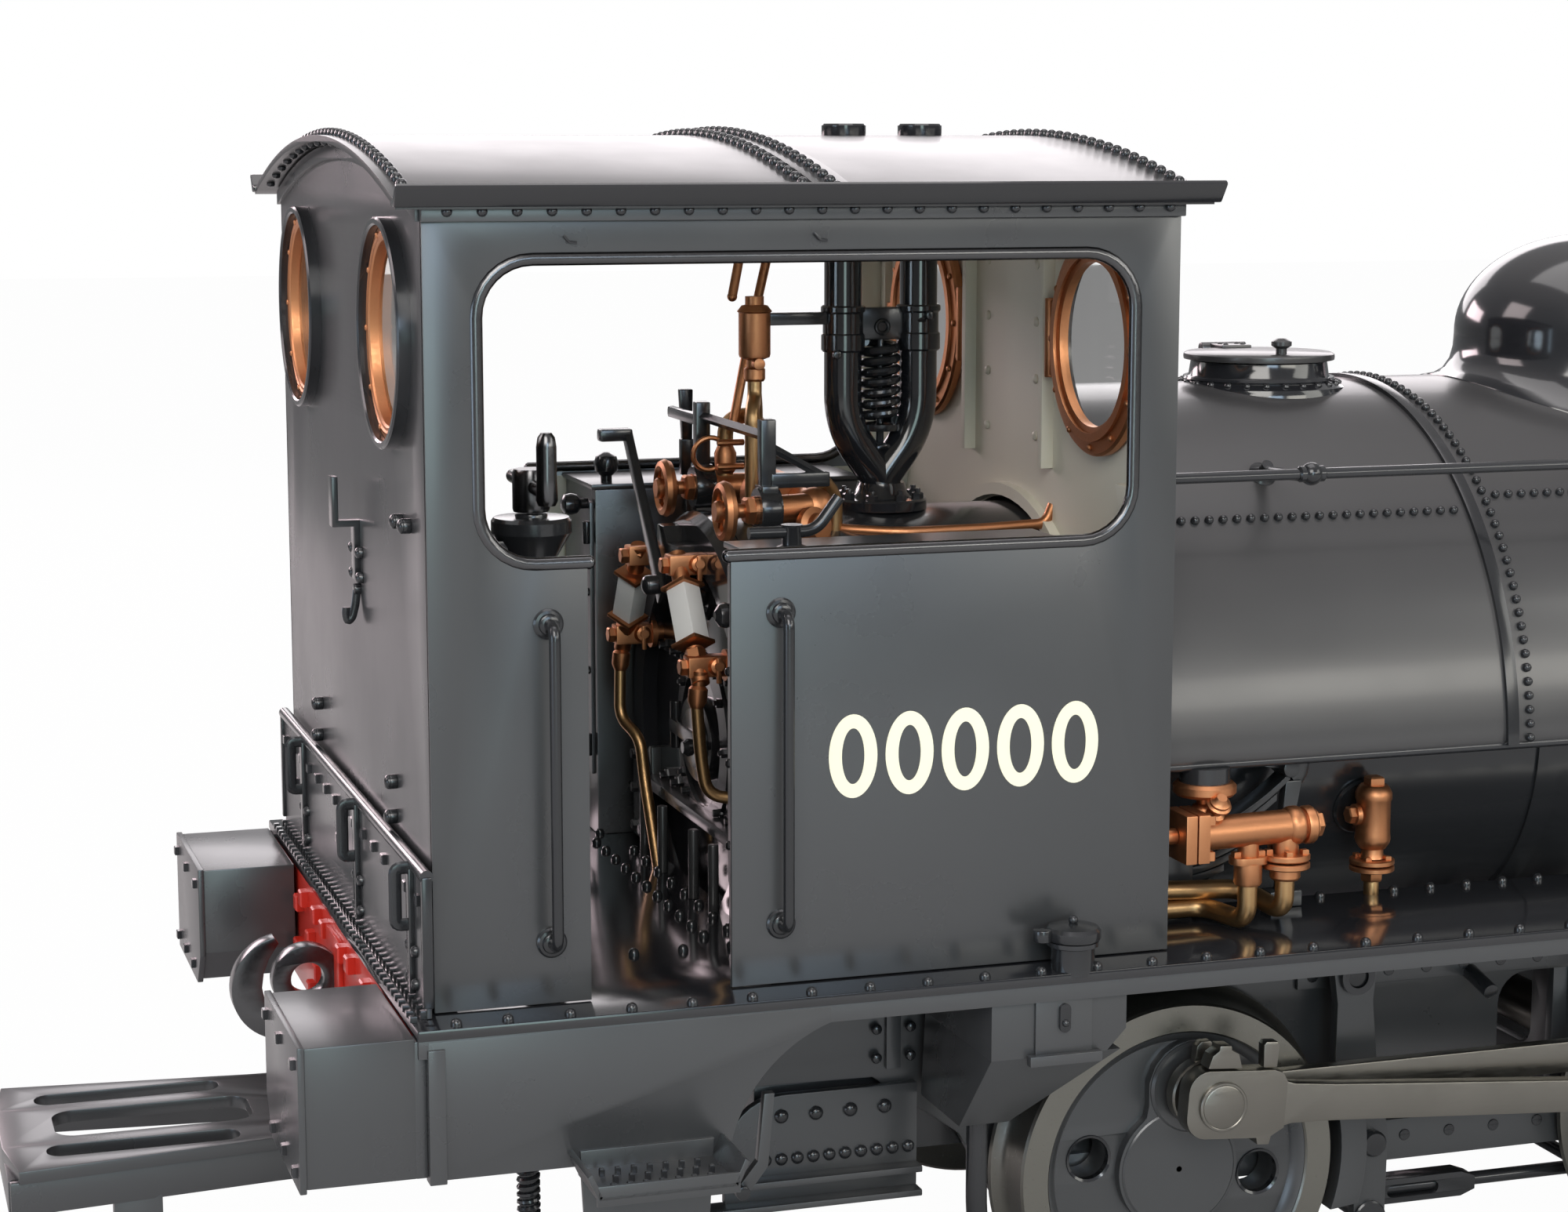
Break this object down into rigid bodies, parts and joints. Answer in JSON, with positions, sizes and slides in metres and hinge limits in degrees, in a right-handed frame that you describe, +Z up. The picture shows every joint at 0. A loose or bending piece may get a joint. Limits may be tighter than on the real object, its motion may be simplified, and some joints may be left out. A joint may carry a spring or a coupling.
{
  "type": "saddle tank steam locomotive model",
  "caption": "Coal-fired live steam miniature of a saddle tank shunting engine with outside cylinders, open-doorway cab and rear towing frame.",
  "frame": {"origin": "rail level under the middle of the engine's length, on the centre line", "axes": "+X forward towards the chimney, +Y to the engine's left, +Z up"},
  "size_m": [0.6352, 0.2432, 0.3089],
  "materials": {
    "black_paint": "satin black paint with fine orange peel",
    "gloss_black_paint": "gloss black paint",
    "red_paint": "gloss red paint",
    "cream_paint": "satin cream paint",
    "steel": "machined and polished steel",
    "copper_bronze": "polished copper-coloured bronze",
    "white_enamel": "white enamel gauge guards"
  },
  "bodies": {
    "engine": {"main_frame_right": "black_paint", "main_frame_left": "black_paint", "rear_buffer_beam": "red_paint", "front_buffer_beam": "red_paint", "motion_plate": "black_paint", "footplate": "gloss_black_paint", "rear_buffer_right": "black_paint", "rear_buffer_left": "black_paint", "front_buffer_right": "black_paint", "front_buffer_left": "black_paint", "rear_draw_hook": "steel", "front_draw_hook": "steel", "towing_frame": "gloss_black_paint", "cylinder_right": "black_paint", "cylinder_left": "black_paint", "cab_side_right": "black_paint", "cab_side_left": "black_paint", "water_gauge_right": "white_enamel", "water_gauge_left": "white_enamel", "rear_spring_right": "gloss_black_paint", "rear_spring_left": "gloss_black_paint", "cab_rear_sheet": "black_paint", "cab_front_sheet": "cream_paint", "cab_roof": "black_paint", "safety_valves": "copper_bronze", "steam_turret": "copper_bronze", "boiler": "black_paint", "saddle_tank": "black_paint", "dome": "gloss_black_paint", "smokebox": "black_paint", "chimney": "gloss_black_paint", "injector": "copper_bronze"},
    "rear_wheelset": {"rear_axle": "steel", "rear_wheel_right": "steel", "rear_wheel_left": "steel"},
    "front_wheelset": {"front_axle": "steel", "front_wheel_right": "steel", "front_wheel_left": "steel"},
    "coupling_rod_right": {"coupling_rod_right": "steel"},
    "coupling_rod_left": {"coupling_rod_left": "steel"},
    "connecting_rod_right": {"connecting_rod_right": "steel"},
    "connecting_rod_left": {"connecting_rod_left": "steel"},
    "crosshead_right": {"crosshead_right": "steel"},
    "crosshead_left": {"crosshead_left": "steel"},
    "rear_brake_hangers": {"rear_brake_hangers": "black_paint"},
    "front_brake_hangers": {"front_brake_hangers": "black_paint"},
    "brake_pull_rod": {"brake_pull_rod": "steel"},
    "handbrake_handle": {"handbrake_handle": "steel"},
    "front_window_right": {"front_window_right": "copper_bronze"},
    "front_window_left": {"front_window_left": "copper_bronze"},
    "valve_wheel_right": {"valve_wheel_right": "copper_bronze"},
    "valve_wheel_left": {"valve_wheel_left": "copper_bronze"},
    "regulator_lever": {"regulator_lever": "steel"},
    "reversing_lever": {"reversing_lever": "steel"},
    "firehole_door": {"firehole_door": "black_paint"},
    "filler_lid": {"filler_lid": "black_paint"},
    "sandbox_lid_right": {"sandbox_lid_right": "copper_bronze"},
    "sandbox_lid_left": {"sandbox_lid_left": "copper_bronze"},
    "smokebox_door": {"smokebox_door": "black_paint"},
    "smokebox_handle": {"smokebox_handle": "steel"}
  },
  "joints": [
    {"name": "rear_wheelset_turn", "type": "hinge", "parent": "engine", "child": "rear_wheelset", "pos_m": [-0.0482, 0, 0.0409], "axis": [0, 1, 0], "continuous": true},
    {"name": "front_wheelset_turn", "type": "hinge", "parent": "engine", "child": "front_wheelset", "pos_m": [0.107, 0, 0.0409], "axis": [0, 1, 0], "continuous": true},
    {"name": "coupling_rod_right_turn", "type": "hinge", "parent": "rear_wheelset", "child": "coupling_rod_right", "pos_m": [-0.04468, -0.0774, 0.06084], "axis": [0, 1, 0], "continuous": true},
    {"name": "coupling_rod_left_turn", "type": "hinge", "parent": "rear_wheelset", "child": "coupling_rod_left", "pos_m": [-0.06814, 0.0774, 0.04442], "axis": [0, 1, 0], "continuous": true},
    {"name": "crosshead_right_slide", "type": "slide", "parent": "engine", "child": "crosshead_right", "axis": [0.9995, 0, 0.0314], "range_m": [-0.0233, 0.0171]},
    {"name": "crosshead_left_slide", "type": "slide", "parent": "engine", "child": "crosshead_left", "axis": [0.9995, 0, 0.0314], "range_m": [-0.00038, 0.0401]},
    {"name": "connecting_rod_right_swing", "type": "hinge", "parent": "crosshead_right", "child": "connecting_rod_right", "pos_m": [0.14079, -0.0854, 0.04684], "axis": [0, 1, 0], "range_deg": [-12.3, 0.1]},
    {"name": "connecting_rod_left_swing", "type": "hinge", "parent": "crosshead_left", "child": "connecting_rod_left", "pos_m": [0.11785, 0.0854, 0.04612], "axis": [0, 1, 0], "range_deg": [-7.5, 4.9]},
    {"name": "handbrake_turn", "type": "hinge", "parent": "engine", "child": "handbrake_handle", "pos_m": [-0.2016, -0.06, 0.207], "axis": [0, 0, 1], "range_deg": [0, 720]},
    {"name": "rear_brake_swing", "type": "hinge", "parent": "engine", "child": "rear_brake_hangers", "pos_m": [0.0007, 0, 0.0828], "axis": [0, 1, 0], "range_deg": [0, 1.72]},
    {"name": "front_brake_swing", "type": "hinge", "parent": "engine", "child": "front_brake_hangers", "pos_m": [0.1559, 0, 0.0828], "axis": [0, 1, 0], "range_deg": [0, 1.72]},
    {"name": "brake_pull_slide", "type": "slide", "parent": "engine", "child": "brake_pull_rod", "axis": [-1, 0, 0], "range_m": [0, 0.00175]},
    {"name": "front_window_right_hinge", "type": "hinge", "parent": "engine", "child": "front_window_right", "pos_m": [-0.06565, -0.0296, 0.237], "axis": [0, 0, 1], "range_deg": [-80, 0]},
    {"name": "front_window_left_hinge", "type": "hinge", "parent": "engine", "child": "front_window_left", "pos_m": [-0.06565, 0.0296, 0.237], "axis": [0, 0, 1], "range_deg": [0, 80]},
    {"name": "valve_wheel_right_turn", "type": "hinge", "parent": "engine", "child": "valve_wheel_right", "pos_m": [-0.147, -0.026, 0.1974], "axis": [1, 0, 0], "range_deg": [0, 540]},
    {"name": "valve_wheel_left_turn", "type": "hinge", "parent": "engine", "child": "valve_wheel_left", "pos_m": [-0.147, 0.026, 0.1974], "axis": [1, 0, 0], "range_deg": [0, 540]},
    {"name": "regulator_turn", "type": "hinge", "parent": "engine", "child": "regulator_lever", "pos_m": [-0.1536, 0, 0.177], "axis": [1, 0, 0], "range_deg": [0, 80]},
    {"name": "reverser_swing", "type": "hinge", "parent": "engine", "child": "reversing_lever", "pos_m": [-0.1261, 0.0582, 0.106], "axis": [0, 1, 0], "range_deg": [-18, 12]},
    {"name": "firehole_door_hinge", "type": "hinge", "parent": "engine", "child": "firehole_door", "pos_m": [-0.14615, 0.02, 0.138], "axis": [0, 0, 1], "range_deg": [-95, 0]},
    {"name": "filler_lid_hinge", "type": "hinge", "parent": "engine", "child": "filler_lid", "pos_m": [0.0045, 0.021, 0.23], "axis": [1, 0, 0], "range_deg": [-110, 0]},
    {"name": "sandbox_lid_right_swing", "type": "hinge", "parent": "engine", "child": "sandbox_lid_right", "pos_m": [-0.096, -0.1006, 0.109], "axis": [0, 0, 1], "range_deg": [-120, 0]},
    {"name": "sandbox_lid_left_swing", "type": "hinge", "parent": "engine", "child": "sandbox_lid_left", "pos_m": [-0.096, 0.1006, 0.109], "axis": [0, 0, 1], "range_deg": [0, 120]},
    {"name": "smokebox_door_hinge", "type": "hinge", "parent": "engine", "child": "smokebox_door", "pos_m": [0.25435, -0.046, 0.146], "axis": [0, 0, 1], "range_deg": [-110, 0]},
    {"name": "smokebox_handle_turn", "type": "hinge", "parent": "smokebox_door", "child": "smokebox_handle", "pos_m": [0.2671, 0, 0.146], "axis": [1, 0, 0], "range_deg": [-90, 90]}
  ],
  "couplings": [
    {"joint": "front_wheelset_turn", "follows": "rear_wheelset_turn", "ratio": 1},
    {"joint": "coupling_rod_right_turn", "follows": "rear_wheelset_turn", "ratio": -1},
    {"joint": "coupling_rod_left_turn", "follows": "rear_wheelset_turn", "ratio": -1},
    {"joint": "rear_brake_swing", "follows": "handbrake_turn", "ratio": 0.002361},
    {"joint": "front_brake_swing", "follows": "handbrake_turn", "ratio": 0.002361},
    {"joint": "brake_pull_slide", "follows": "handbrake_turn", "m_per_rad": 0.000136}
  ]
}
